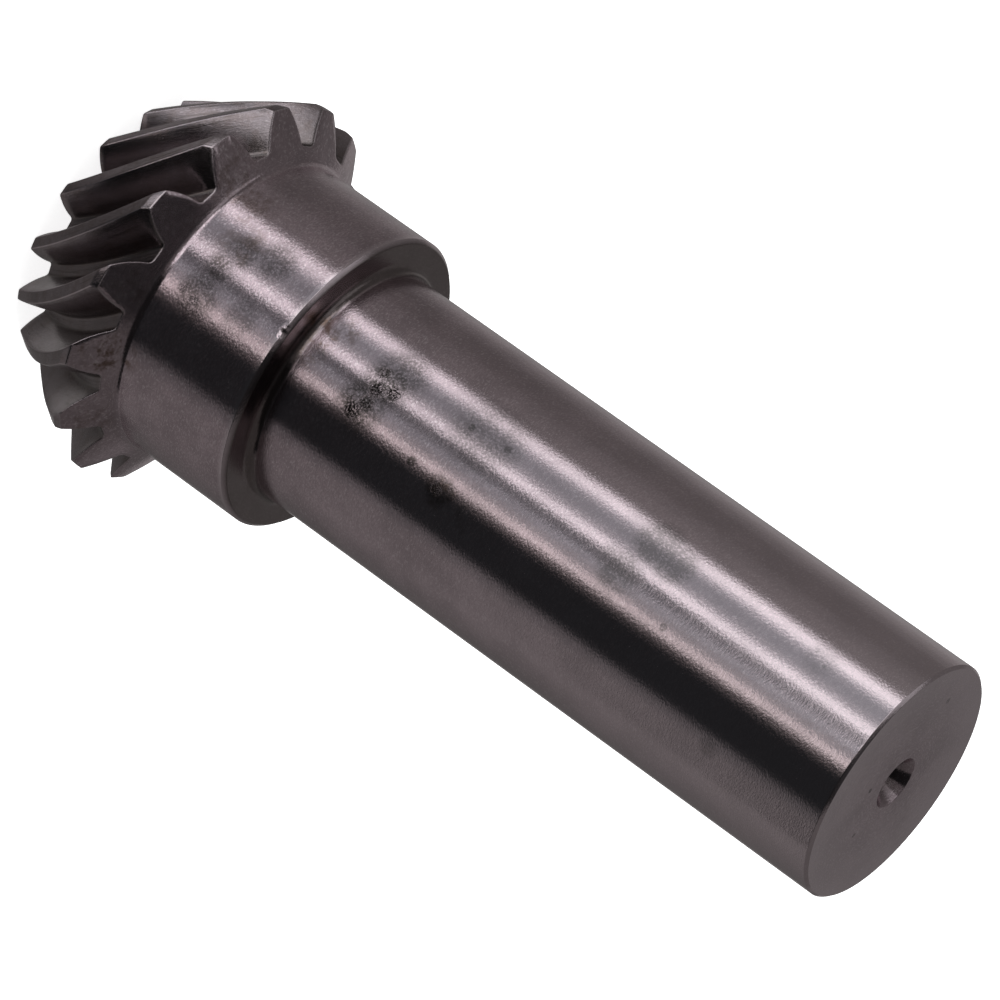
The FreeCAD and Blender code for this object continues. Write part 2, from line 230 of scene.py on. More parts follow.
def half_profile(share, toe_trim, heel_trim):
    """Radius, height, angle and turn of the points from the middle of a space to the middle of a tooth."""
    root_widths = np.linspace(0.0, FILLET_Y, ROOT_STEPS + 1)
    last_turn = math.atan2(FLANK_CENTRE[1] - FILLET_Y, FLANK_CENTRE[0] - FILLET_X)
    fillet_turns = np.linspace(math.pi, last_turn, FILLET_STEPS + 1)[1:]
    fillet_rises = FILLET_X + HEEL_ROOT_FILLET * np.cos(fillet_turns)
    fillet_widths = FILLET_Y + HEEL_ROOT_FILLET * np.sin(fillet_turns)
    rises = np.concatenate([np.full(ROOT_STEPS + 1, ROOT_POINT[0]), fillet_rises])
    widths = np.concatenate([root_widths, fillet_widths])
    radii, heights, angles = section_on_cone(rises, widths)
    distances = cone_distance(radii, heights, share, toe_trim, heel_trim)

    # the flank ends where the face cone or the crown cuts it, less the edge break, and then comes the corner
    steps = np.append(np.arange(1, FLANK_STEPS + 1) / FLANK_STEPS, 1.0)
    breaks = np.append(np.full(FLANK_STEPS, TIP_BREAK), 0.0)
    places = steps.copy()
    for _ in range(SETTLING_ROUNDS):
        radius, height, angle = flank_at(TOUCH_TURN + places * (TIP_TURN - TOUCH_TURN))
        distance = cone_distance(radius, height, share, toe_trim, heel_trim)
        tip = np.interp(CROWN_RADIUS / distance, FLANK_RADII, FLANK_SHARES)
        places = steps * (tip - breaks / (FLANK_LENGTH * distance / HEEL_DISTANCE))
    points = np.stack([radii * distances, heights * distances, angles, cutter_turn(distances)], 1)
    flank = np.stack([radius * distance, height * distance, angle, cutter_turn(distance)], 1)

    # the land runs round the axis from corner to corner
    corner = flank[-1]
    starts = corner[2] + TIP_BREAK / corner[0]
    land = np.repeat(corner[None], LAND_STEPS + 1, 0)
    land[:, 2] = np.linspace(starts, TOOTH_PITCH / 2, LAND_STEPS + 1)
    rounded = (1 - BREAK_ROUNDNESS) * corner + BREAK_ROUNDNESS * (flank[-2] + land[0]) / 2
    return np.concatenate([points, flank[:-1], rounded[None], land])


HALF_COUNT = ROOT_STEPS + FILLET_STEPS + FLANK_STEPS + 1 + LAND_STEPS + 1
RING_COUNT = TOOTH_COUNT * 2 * HALF_COUNT


def tooth_ring(share, toe_trim=0.0, heel_trim=0.0):
    """All teeth at one share of their length, as a closed ring of points."""
    half = half_profile(share, toe_trim, heel_trim)
    radius, height, angle, turn = half.T
    right = np.stack([radius, height, turn + angle], 1)[:-1]
    left = np.stack([radius, height, turn + TOOTH_PITCH - angle], 1)[:0:-1]
    pitch = np.concatenate([right, left])
    ring = np.concatenate([pitch + [0, 0, number * TOOTH_PITCH] for number in range(TOOTH_COUNT)])
    return in_space(ring[:, 0], ring[:, 1] - APEX_DROP, ring[:, 2])


def in_space(radius, height, angle):
    radius, height, angle = np.broadcast_arrays(radius, height, angle)
    return np.stack([radius * np.cos(angle), radius * np.sin(angle), height], -1)


def unit(vectors):
    return vectors / np.linalg.norm(vectors, axis=-1, keepdims=True)


def break_edge(outline, setback, size, cone_height, cone_normal):
    """Two rings that round the edge between the teeth and an end face: the edge's middle and its foot."""
    along = unit(np.roll(outline, -1, 0) - np.roll(outline, 1, 0))
    radial = unit(outline * [1, 1, 0])
    normal = radial * cone_normal[0] + np.array([0, 0, cone_normal[1]])
    inward = unit(np.cross(normal, along))
    if inward[0] @ radial[0] > 0:
        inward = -inward
    foot = outline + size * inward
    foot[:, 2] = cone_height(np.hypot(foot[:, 0], foot[:, 1]))
    middle = (1 - BREAK_ROUNDNESS) * outline + BREAK_ROUNDNESS * (setback + foot) / 2
    return middle, foot


def back_cone_height(radius):
    return BACK_REACH - BACK_SLOPE * radius - APEX_DROP


def front_cone_height(radius):
    return TOE_REACH - FRONT_SLOPE * radius - APEX_DROP


def face_rings(foot, end_radius, cone_height, turn):
    """Rings down an end cone, from the teeth's outline to a circle with evenly spaced points."""
    radius = np.hypot(foot[:, 0], foot[:, 1])
    angle = np.unwrap(np.arctan2(foot[:, 1], foot[:, 0]))
    even = turn + np.arange(RING_COUNT) * 2 * math.pi / RING_COUNT
    even = even + 2 * math.pi * np.round((angle[0] - even[0]) / (2 * math.pi))
    rings = []
    for step in range(1, CONE_STEPS + 1):
        share = step / CONE_STEPS
        here = radius + share * (end_radius - radius)
        rings.append(in_space(here, cone_height(here), angle + share * (even - angle)))
    return rings


def rounded_section(corners):
    """Points of a half section whose corners, each a radius, a height and a rounding, become short arcs."""
    places = np.array([corner[:2] for corner in corners])
    points = [places[0]]
    for index in range(1, len(corners) - 1):
        place, rounding = places[index], corners[index][2]
        before = unit(places[index - 1] - place)
        after = unit(places[index + 1] - place)
        half = math.acos(np.clip(before @ after, -1, 1)) / 2
        setback = rounding / math.tan(half)
        centre = place + unit(before + after) * rounding / math.sin(half)
        start = place + before * setback - centre
        end = place + after * setback - centre
        turn = math.atan2(start[0] * end[1] - start[1] * end[0], start @ end)
        for step in range(ARC_STEPS + 1):
            angle = turn * step / ARC_STEPS
            cosine, sine = math.cos(angle), math.sin(angle)
            offset = [start[0] * cosine - start[1] * sine, start[0] * sine + start[1] * cosine]
            points.append(centre + offset)
    points.append(places[-1])
    return points


def centre_hole(face_height, side):
    """Corners of a centre hole's half section, mouth first. side is 1 at the top end, -1 at the foot."""
    return [
        (CENTRE_MOUTH_RADIUS, face_height, TURNED_BREAK),
        (CENTRE_PILOT_RADIUS, face_height - side * CENTRE_CONE_DEPTH, TURNED_BREAK / 2),
        (CENTRE_PILOT_RADIUS, face_height - side * CENTRE_DEPTH, TURNED_BREAK),
        (0.0, face_height - side * CENTRE_POINT_DEPTH, 0.0),
    ]


def turned_rings(section, turn):
    angles = turn + np.arange(RING_COUNT) * 2 * math.pi / RING_COUNT
    return [in_space(radius, height, angles) for radius, height in section]


def turned_marks(rings, start):
    """Where the tool marks of turned rings run: the place in plan and the length across the marks."""
    marks = []
    across = start
    previous = rings[0]
    for ring in rings:
        across = across + float(np.linalg.norm(ring[0] - previous[0]))
        marks.append(np.column_stack([ring[:, 0], ring[:, 1], np.full(RING_COUNT, across)]))
        previous = ring
    return marks


def round_direction(ring):
    return unit(np.column_stack([-ring[:, 1], ring[:, 0], np.zeros(RING_COUNT)]))


def recess_shade_at(radius, height):
    """How much painted shade a turned ring gets: most inside the centre holes and on the shoulder."""
    if radius < CENTRE_MOUTH_RADIUS - TURNED_BREAK:
        return 1.0
    if height > COLLAR_FOOT and SHAFT_RADIUS + SHADE_GAP < radius < COLLAR_RADIUS - TURNED_BREAK:
        return SHOULDER_SHADE
    return 0.0


def root_shade():
    """How much painted shade the points of a ring round the teeth get: most at the foot of a flank, not at
    all on top.
    """
    place = np.mod(np.arange(RING_COUNT), 2 * HALF_COUNT)
    from_root = np.minimum(place, 2 * HALF_COUNT - place)
    up_flank = np.clip((from_root - ROOT_STEPS - FILLET_STEPS / 2) / FLANK_STEPS, 0, 1)
    return np.where(from_root <= ROOT_STEPS, ROOT_SHADE, FLANK_FOOT_SHADE * (1 - up_flank))


def bright_edge_at(radius, height):
    """1 on the turned edges that get a painted highlight: the collar's and the shaft end's."""
    under_chamfer = abs(height - (SHOULDER_HEIGHT - COLLAR_CHAMFER)) < TURNED_BREAK
    collar_edge = radius > COLLAR_RADIUS - TURNED_BREAK and under_chamfer
    near_end = height > SHAFT_TOP - SHAFT_CHAMFER - TURNED_BREAK
    end_edge = radius > SHAFT_RADIUS - SHAFT_CHAMFER - TURNED_BREAK and near_end
    return 1.0 if collar_edge or end_edge else 0.0


def dent(points):
    """Presses the nicks into the collar's edge."""
    for azimuth, height, reach, depth in NICKS:
        centre = np.array(place_on(COLLAR_RADIUS, azimuth, height))
        press = depth * np.sqrt(np.clip(1 - np.linalg.norm(points - centre, axis=1) / reach, 0, 1))
        points[:, :2] *= (1 - press / COLLAR_RADIUS)[:, None]
        points[:, 2] -= press / 2


def pinion_rings():
    """All rings from the toe's centre hole over the teeth to the shaft end's hole, with what each carries."""
    toe_turn = float(cutter_turn(TOE_DISTANCE))
    heel_turn = float(cutter_turn(HEEL_DISTANCE))
    rings = []

    def add(ring, marks, lay, teeth, edge):
        recess_shade = root_shade() if teeth else recess_shade_at(np.hypot(ring[0, 0], ring[0, 1]), ring[0, 2])
        carried = {"marks": marks, "lay": lay, "teeth": teeth, "edge": edge, "recess_shade": recess_shade}
        rings.append({"points": ring, **carried})

    # the toe: centre hole, flat and cone, from the middle outwards
    foot_outline = tooth_ring(0.0)
    foot_setback = tooth_ring(0.0, toe_trim=TOE_BREAK)
    toe_middle, toe_foot = break_edge(foot_outline, foot_setback, TOE_BREAK, front_cone_height,
                                      (-math.sin(FRONT_CONE_ANGLE), -math.cos(FRONT_CONE_ANGLE)))
    rim_radius = FRONT_FACE_RADIUS + TOE_RIM
    toe_corners = [
        (rim_radius, float(front_cone_height(rim_radius)), 0.0),
        (FRONT_FACE_RADIUS, FRONT_FACE_HEIGHT, TURNED_BREAK),
    ] + centre_hole(FRONT_FACE_HEIGHT, -1)
    toe_rings = face_rings(toe_foot, rim_radius, front_cone_height, toe_turn)
    toe_rings = [toe_foot] + toe_rings + turned_rings(rounded_section(toe_corners)[1:-1], toe_turn)
    for ring, marks in reversed(list(zip(toe_rings, turned_marks(toe_rings, TOE_MARKS_START)))):
        add(ring, marks, round_direction(ring), 0.0, 0.0)

    # the teeth, with the row where the crown land starts set in
    corner = half_profile(0.0, 0.0, 0.0)[-1]
    corner_distance = math.hypot(corner[0], corner[1])
    tip_radius, tip_height = corner[0] / corner_distance, corner[1] / corner_distance
    low = TOE_REACH / (tip_height + FRONT_SLOPE * tip_radius)
    high = BACK_REACH / (tip_height + BACK_SLOPE * tip_radius)
    crown_share = (CROWN_RADIUS / tip_radius - low) / (high - low)
    shares = np.concatenate([
        np.linspace(0.0, crown_share - NEXT_ROW, LENGTH_STEPS),
        [crown_share - CLOSE_ROW, crown_share, crown_share + CLOSE_ROW],
        np.linspace(crown_share + NEXT_ROW, 1.0, CROWN_ROWS),
    ])
    tooth_rings = [tooth_ring(share, TOE_BREAK, HEEL_BREAK) for share in shares]
    gaps = np.linalg.norm(np.diff(tooth_rings[-1], axis=0), axis=1)
    across = np.concatenate([[0.0], np.cumsum(gaps)])
    seeds = np.repeat(np.arange(TOOTH_COUNT) * TOOTH_MARKS_STEP, 2 * HALF_COUNT)
    # the painted edge highlight: on the rounded corner between flank and land, and on the broken edges at toe
    # and heel
    edge = np.zeros(RING_COUNT)
    rounded_index = ROOT_STEPS + FILLET_STEPS + FLANK_STEPS + 1
    place = np.mod(np.arange(RING_COUNT), 2 * HALF_COUNT)
    edge[(place == rounded_index) | (place == 2 * HALF_COUNT - rounded_index)] = 1.0
    lays = [unit(tooth_rings[min(index + 1, len(shares) - 1)] - tooth_rings[max(index - 1, 0)])
            for index in range(len(shares))]
    toe_marks = np.column_stack([np.zeros(RING_COUNT), seeds, across])
    add(toe_middle, toe_marks, lays[0], 1.0, 1.0)
    for share, ring, lay in zip(shares, tooth_rings, lays):
        marks = np.column_stack([np.full(RING_COUNT, share * FACE_WIDTH), seeds, across])
        add(ring, marks, lay, 1.0, edge)

    # the heel face, collar, shoulder, shaft and its end
    heel_outline = tooth_ring(1.0)
    heel_middle, heel_foot = break_edge(heel_outline, tooth_rings[-1], HEEL_BREAK, back_cone_height,
                                        (math.sin(BACK_CONE_ANGLE), math.cos(BACK_CONE_ANGLE)))
    add(heel_middle, np.column_stack([np.full(RING_COUNT, FACE_WIDTH), seeds, across]), lays[-1], 1.0, 1.0)
    cone_end = COLLAR_RADIUS + COLLAR_FILLET
    corners = [
        (cone_end, float(back_cone_height(cone_end)), 0.0),
        (COLLAR_RADIUS, COLLAR_FOOT, COLLAR_FILLET),
        (COLLAR_RADIUS, SHOULDER_HEIGHT - COLLAR_CHAMFER, TURNED_BREAK),
        (COLLAR_RADIUS - COLLAR_CHAMFER, SHOULDER_HEIGHT, TURNED_BREAK),
        (SHAFT_RADIUS, SHOULDER_HEIGHT, SHOULDER_FILLET),
        (SHAFT_RADIUS, SHAFT_TOP - SHAFT_CHAMFER, TURNED_BREAK),
        (SHAFT_RADIUS - SHAFT_CHAMFER, SHAFT_TOP, TURNED_BREAK),
    ] + centre_hole(SHAFT_TOP, 1)
    section = rounded_section(corners)[1:-1]
    near_edge = SHOULDER_HEIGHT - COLLAR_CHAMFER - NICK_BAND
    section.insert(sum(point[1] < near_edge for point in section), (COLLAR_RADIUS, near_edge))
    turned = face_rings(heel_foot, cone_end, back_cone_height, heel_turn)
    turned = [heel_foot] + turned + turned_rings(section, heel_turn)
    for ring, marks in zip(turned, turned_marks(turned, 0.0)):
        bright_edge = bright_edge_at(np.hypot(ring[0, 0], ring[0, 1]), ring[0, 2])
        add(ring, marks, round_direction(ring), 0.0, bright_edge)
    return rings


def build_pinion():
    """The pinion as one closed mesh: rings joined by quads, closed at both ends by the drill points."""
    rings = pinion_rings()
    points = np.concatenate([ring["points"] for ring in rings])
    foot_point = [0.0, 0.0, FRONT_FACE_HEIGHT + CENTRE_POINT_DEPTH]
    top_point = [0.0, 0.0, SHAFT_TOP - CENTRE_POINT_DEPTH]
    points = np.concatenate([points, [foot_point, top_point]])
    points[:, :2] *= 1 - INSIDE / CROWN_RADIUS
    dent(points)
    faces = []
    for row in range(len(rings) - 1):
        for index in range(RING_COUNT):
            following = (index + 1) % RING_COUNT
            low, high = row * RING_COUNT, (row + 1) * RING_COUNT
            faces.append((low + index, low + following, high + following, high + index))
    last = (len(rings) - 1) * RING_COUNT
    for index in range(RING_COUNT):
        following = (index + 1) % RING_COUNT
        faces.append((following, index, len(points) - 2))
        faces.append((last + index, last + following, len(points) - 1))
    mesh = bpy.data.meshes.new("pinion")
    mesh.from_pydata(points * MM, [], faces)
    mesh.validate()
    mesh.polygons.foreach_set("use_smooth", np.ones(len(mesh.polygons), bool))

    marks = np.concatenate([ring["marks"] for ring in rings] + [[foot_point, top_point]])
    lay = np.concatenate([ring["lay"] for ring in rings] + [[[1, 0, 0], [1, 0, 0]]])
    teeth = np.concatenate([np.full(RING_COUNT, ring["teeth"]) for ring in rings] + [[0, 0]])
    # which points get the painted edge highlight
    edge = np.concatenate([np.zeros(RING_COUNT) + ring["edge"] for ring in rings] + [[0, 0]])
    # how much painted shade each point gets
    recess_shade = np.concatenate([np.zeros(RING_COUNT) + ring["recess_shade"] for ring in rings] + [[1, 1]])
    for name, values in (("marks", marks), ("lay", lay)):
        attribute = mesh.attributes.new(name, "FLOAT_VECTOR", "POINT")
        attribute.data.foreach_set("vector", values.astype(np.float32).ravel())
    for name, values in (("teeth", teeth), ("edge", edge), ("recess_shade", recess_shade)):
        attribute = mesh.attributes.new(name, "FLOAT", "POINT")
        attribute.data.foreach_set("value", values.astype(np.float32))
    pinion = bpy.data.objects.new("pinion", mesh)
    bpy.context.scene.collection.objects.link(pinion)
    weighted = pinion.modifiers.new("flat_faces_lead", "WEIGHTED_NORMAL")
    weighted.mode = "FACE_AREA"
    weighted.weight = 80
    return pinion


class Nodes:
    """A node tree with short calls. put gives back the new node, and the others give back its output."""

    def __init__(self, tree):
        self.tree = tree
        tree.nodes.clear()

    def put(self, kind, inputs=None, **settings):
        node = self.tree.nodes.new(kind)
        for name, value in settings.items():
            setattr(node, name, value)
        for name, value in (inputs or {}).items():
            socket = node.inputs[name]
            if isinstance(value, bpy.types.NodeSocket):
                self.tree.links.new(value, socket)
            else:
                socket.default_value = value
        return node

    def attribute(self, name, output):
        return self.put("ShaderNodeAttribute", attribute_name=name).outputs[output]

    def calc(self, operation, first, second=0.0):
        return self.put("ShaderNodeMath", {0: first, 1: second}, operation=operation).outputs[0]

    def ramp(self, value, low, high, start=0.0, end=1.0):
        """A smooth step from start to end while value goes from low to high."""
        inputs = {"Value": value, "From Min": low, "From Max": high, "To Min": start, "To Max": end}
        return self.put("ShaderNodeMapRange", inputs, interpolation_type="SMOOTHSTEP").outputs[0]

    def noise(self, vector, scale, detail=2.0, roughness=0.5):
        inputs = {"Vector": vector, "Scale": scale, "Detail": detail, "Roughness": roughness}
        return self.put("ShaderNodeTexNoise", inputs).outputs[0]

    def stretch(self, vector, factors):
        inputs = {0: vector, 1: factors}
        return self.put("ShaderNodeVectorMath", inputs, operation="MULTIPLY").outputs[0]

    def mix(self, share, first, second):
        node = self.put("ShaderNodeMix", data_type="RGBA")
        for index, value in ((0, share), (6, first), (7, second)):
            if isinstance(value, bpy.types.NodeSocket):
                self.tree.links.new(value, node.inputs[index])
            else:
                node.inputs[index].default_value = value
        return node.outputs[2]

    def bump(self, height, depth, normal=None):
        inputs = {"Height": height, "Distance": depth * MM, "Strength": 1.0}
        if normal is not None:
            inputs["Normal"] = normal
        return self.put("ShaderNodeBump", inputs).outputs[0]


def place_on(radius, azimuth, height):
    """A point in millimetres, from its radius and height in millimetres and its azimuth in degrees."""
    angle = math.radians(azimuth)
    return Vector((radius * math.cos(angle), radius * math.sin(angle), height))


# Places of pits, dark stains and brown stains: radius, azimuth, height, reach in millimetres, strength
PITS = [
    (SHAFT_RADIUS, 35.4, 44.0, 1.3, 1.0),
    (SHAFT_RADIUS, 29.5, 44.9, 1.2, 0.9),
    (SHAFT_RADIUS, 22.4, 45.0, 1.3, 1.0),
    (SHAFT_RADIUS, 19.6, 46.9, 1.2, 1.0),
    (SHAFT_RADIUS, 14.8, 44.4, 1.0, 0.8),
    (SHAFT_RADIUS, 41.6, 57.7, 1.0, 0.8),
    (COLLAR_RADIUS, 35.1, 22.4, 1.0, 0.4),
    (COLLAR_RADIUS, 33.6, 20.4, 0.9, 0.35),
]
STAINS = [
    (SHAFT_RADIUS, 31.0, 44.6, 4.2, 0.6),
    (SHAFT_RADIUS, 18.0, 45.6, 4.0, 0.6),
    (SHAFT_RADIUS, 11.0, 46.2, 4.4, 0.45),
    (SHAFT_RADIUS, 12.0, 59.0, 6.0, 0.4),
    (SHAFT_RADIUS, 5.6, 82.4, 3.6, 0.95),
    (SHAFT_RADIUS, 8.6, 85.4, 3.2, 0.9),
    (SHAFT_RADIUS, 25.6, 81.0, 3.4, 0.65),
    (SHAFT_RADIUS, 23.0, 79.2, 2.2, 0.45),
    (SHAFT_RADIUS, 41.6, 58.2, 2.4, 0.6),
    (SHAFT_RADIUS, 65.1, 100.0, 1.6, 0.45),
    (SHAFT_RADIUS, 6.5, 105.2, 2.6, 0.4),
    (COLLAR_RADIUS, 33.0, 22.4, 3.6, 0.45),
    (COLLAR_RADIUS, 30.9, 28.5, 2.8, 0.3),
    (COLLAR_RADIUS, 21.3, 22.6, 2.4, 0.5),
    (COLLAR_RADIUS, 12.6, 23.6, 3.2, 0.4),
    (COLLAR_RADIUS, 8.4, 27.4, 3.4, 0.4),
    (24.0, 84.0, 11.0, 2.6, 0.6),
    (17.5, 77.0, 12.0, 3.0, 0.5),
    # single dark dots on the shaft and on its end face
    (SHAFT_RADIUS, 38.2, 53.4, 0.7, 1.0),
    (SHAFT_RADIUS, 12.1, 56.7, 0.7, 0.9),
    (SHAFT_RADIUS, 10.6, 61.7, 0.7, 0.9),
    (SHAFT_RADIUS, 33.5, 88.8, 0.6, 1.0),
    (SHAFT_RADIUS, 3.8, 104.1, 0.5, 1.0),
    (SHAFT_RADIUS, 8.1, 106.0, 0.5, 1.0),
    (10.6, -50.2, SHAFT_TOP, 0.5, 0.9),
    (5.9, 52.7, SHAFT_TOP, 0.4, 0.9),
    (7.3, 109.6, SHAFT_TOP, 0.4, 0.9),
]
BROWN_STAINS = [
    (SHAFT_RADIUS, 15.0, 35.4, 3.4, 1.0),
    (SHAFT_RADIUS, 10.5, 37.4, 2.8, 0.6),
    (SHAFT_RADIUS, 26.0, 36.0, 2.4, 0.5),
    (SHAFT_RADIUS, 42.0, 58.2, 2.6, 0.8),
    (SHAFT_RADIUS, 47.0, 62.0, 2.4, 0.4),
    (COLLAR_RADIUS, 10.0, 22.5, 4.0, 0.4),
    (20.5, 66.0, 16.6, 4.0, 1.0),
    (24.0, 60.0, 14.0, 3.4, 1.0),
    (22.0, 95.0, 15.5, 4.0, 0.5),
    (19.8, -4.0, 19.0, 5.0, 0.5),
    (21.5, 42.0, 16.0, 3.0, 0.4),
    (20.5, -5.0, 17.0, 4.5, 0.5),
]


def patch_mask(nodes, position, patches):
    """A soft mask that is high within reach of each patch."""
    total = None
    for radius, azimuth, height, reach, strength in patches:
        inputs = {0: position, 1: place_on(radius, azimuth, height)}
        distance = nodes.put("ShaderNodeVectorMath", inputs, operation="DISTANCE").outputs["Value"]
        near = nodes.ramp(distance, reach, reach * 0.4, 0.0, strength)
        total = near if total is None else nodes.calc("MAXIMUM", total, near)
    return total


# Colours of the steel and of what lies on it
STEEL = (0.82, 0.67, 0.73, 1.0)
DULL_STEEL = (0.55, 0.45, 0.49, 1.0)
# bright grains, and the painted highlight on the broken edges
BRIGHT_STEEL = (0.96, 0.84, 0.89, 1.0)
OILY_STEEL = (0.25, 0.25, 0.25, 1.0)
# dark for the tool scores on the teeth and for the painted shade in the recesses
DARK_SCORE_AND_SHADE = (0.13, 0.115, 0.10, 1.0)
DARK_STAIN = (0.05, 0.045, 0.036, 1.0)
BROWN_STAIN = (0.20, 0.125, 0.085, 1.0)
PIT_FLOOR = (0.03, 0.026, 0.026, 1.0)


def steel_material():
    material = bpy.data.materials.new("machined_steel")
    material.use_nodes = True
    nodes = Nodes(material.node_tree)
    coordinates = nodes.put("ShaderNodeTexCoord").outputs["Object"]
    position = nodes.stretch(coordinates, (1 / MM, 1 / MM, 1 / MM))
    marks = nodes.attribute("marks", "Vector")
    teeth = nodes.attribute("teeth", "Fac")
    # the masks of the painted edge highlight and of the painted shade
    edge = nodes.attribute("edge", "Fac")
    recess_shade = nodes.attribute("recess_shade", "Fac")

    # tool marks: long in the direction of the cut, fine across it
    fine_lines = nodes.noise(nodes.stretch(marks, (0.25, 0.25, 5.5)), 1.0, 2.0, 0.6)
    score_lines = nodes.noise(nodes.stretch(marks, (0.12, 0.12, 1.6)), 1.0, 4.0, 0.75)
    grain = nodes.noise(nodes.stretch(marks, (2.0, 2.0, 5.0)), 1.0, 3.0, 0.7)
    sparkle = nodes.noise(nodes.stretch(marks, (3.0, 3.0, 6.0)), 1.0, 1.0, 0.5)
    cloud = nodes.noise(position, 0.16, 4.0, 0.6)
    blotch = nodes.noise(position, 0.6, 5.0, 0.7)

    # stains and pits
    speckle = nodes.noise(position, 3.4, 4.0, 0.7)
    pores = nodes.noise(position, 5.0, 2.0, 0.6)
    pits = nodes.calc("MULTIPLY", patch_mask(nodes, position, PITS), nodes.ramp(pores, 0.46, 0.54))
    scattered = nodes.noise(position, 1.1, 4.0, 0.7)
    pits = nodes.calc("MAXIMUM", pits, nodes.ramp(scattered, 0.73, 0.80, 0.0, 0.35))
    stain_area = patch_mask(nodes, position, STAINS)
    stain_speckle = nodes.ramp(speckle, 0.36, 0.56, 0.4, 1.6)
    stain_level = nodes.calc("MULTIPLY", stain_speckle, nodes.ramp(blotch, 0.36, 0.52, 0.55, 1.0))
    stain = nodes.calc("MINIMUM", nodes.calc("MULTIPLY", stain_area, stain_level), 0.97)
    brown_patches = patch_mask(nodes, position, BROWN_STAINS)
    brown_area = nodes.calc("MAXIMUM", brown_patches, nodes.calc("MULTIPLY", teeth, 0.25))
    brown = nodes.calc("MULTIPLY", brown_area, nodes.ramp(blotch, 0.45, 0.62))

    # colour
    colour = nodes.mix(nodes.ramp(cloud, 0.35, 0.7), STEEL, DULL_STEEL)
    colour = nodes.mix(nodes.ramp(sparkle, 0.3, 0.6, 0.0, 0.6), colour, DULL_STEEL)
    colour = nodes.mix(nodes.ramp(grain, 0.52, 0.66, 0.0, 0.7), colour, BRIGHT_STEEL)
    colour = nodes.mix(nodes.calc("MULTIPLY", teeth, 0.5), colour, OILY_STEEL)
    scores = nodes.ramp(score_lines, 0.56, 0.7, 0.0, 0.55)
    colour = nodes.mix(nodes.calc("MULTIPLY", scores, teeth), colour, DARK_SCORE_AND_SHADE)
    # painted shade: darker inside the centre holes, on the shoulder, at the bottom of the tooth spaces and at
    # the foot of the flanks
    colour = nodes.mix(nodes.calc("MULTIPLY", recess_shade, 0.85), colour, DARK_SCORE_AND_SHADE)
    colour = nodes.mix(stain, colour, DARK_STAIN)
    colour = nodes.mix(nodes.calc("MULTIPLY", brown, 0.8), colour, BROWN_STAIN)
    # painted highlight: the broken edges of the teeth, the collar and the shaft end made brighter
    colour = nodes.mix(nodes.calc("MULTIPLY", edge, 0.7), colour, BRIGHT_STEEL)
    colour = nodes.mix(pits, colour, PIT_FLOOR)

    # roughness
    roughness = nodes.ramp(fine_lines, 0.3, 0.7, 0.12, 0.17)
    roughness = nodes.calc("ADD", roughness, nodes.ramp(cloud, 0.35, 0.75, 0.0, 0.03))
    roughness = nodes.calc("ADD", roughness, nodes.calc("MULTIPLY", teeth, 0.06))
    roughness = nodes.calc("ADD", roughness, nodes.calc("MULTIPLY", stain, 0.04))
    roughness = nodes.calc("ADD", roughness, nodes.calc("MULTIPLY", pits, 0.35))

    # small relief, in millimetres
    normal = nodes.bump(fine_lines, 0.0012)
    normal = nodes.bump(grain, 0.014, normal)
    normal = nodes.bump(sparkle, 0.010, normal)
    normal = nodes.bump(nodes.calc("MULTIPLY", pits, -1.0), 0.012, normal)

    shader = nodes.put("ShaderNodeBsdfPrincipled", {
        "Base Color": colour,
        "Metallic": 1.0,
        "Roughness": roughness,
        "Anisotropic": 0.8,
        "Anisotropic Rotation": 0.25,
        "Normal": normal,
        "Tangent": nodes.attribute("lay", "Vector"),
    })
    nodes.put("ShaderNodeOutputMaterial", {"Surface": shader.outputs[0]})
    return material


def background_share(nodes):
    """1 for the rays that see the white background: from the camera, and in metal or glass."""
    path = nodes.put("ShaderNodeLightPath")
    seen = nodes.calc("MAXIMUM", path.outputs["Is Camera Ray"], path.outputs["Is Glossy Ray"])
    return nodes.calc("MAXIMUM", seen, path.outputs["Is Transmission Ray"])


# The floor's radius, its glow where the white background is seen, and the world's strength for all other rays
FLOOR_RADIUS = 6000.0
FLOOR_GLOW = 0.82
AMBIENT = 0.5


def make_world():
    world = bpy.data.worlds.new("studio")
    world.use_nodes = True
    nodes = Nodes(world.node_tree)
    strength = nodes.ramp(background_share(nodes), 0.0, 1.0, AMBIENT, 1.0)
    light = nodes.put("ShaderNodeBackground", {"Color": (1, 1, 1, 1), "Strength": strength})
    nodes.put("ShaderNodeOutputWorld", {"Surface": light.outputs[0]})
    bpy.context.scene.world = world


def make_floor():
    bpy.ops.mesh.primitive_circle_add(vertices=64, radius=FLOOR_RADIUS * MM, fill_type="NGON")
    floor = bpy.context.object
    floor.name = "floor"
    material = bpy.data.materials.new("white_floor")
    material.use_nodes = True
    nodes = Nodes(material.node_tree)
    matt = nodes.put("ShaderNodeBsdfDiffuse", {"Color": (0.9, 0.9, 0.9, 1)})
    glow_level = nodes.calc("MULTIPLY", background_share(nodes), FLOOR_GLOW)
    glow = nodes.put("ShaderNodeEmission", {"Strength": glow_level})
    both = nodes.put("ShaderNodeAddShader", {0: matt.outputs[0], 1: glow.outputs[0]})
    nodes.put("ShaderNodeOutputMaterial", {"Surface": both.outputs[0]})
    floor.data.materials.append(material)
    floor.visible_glossy = False


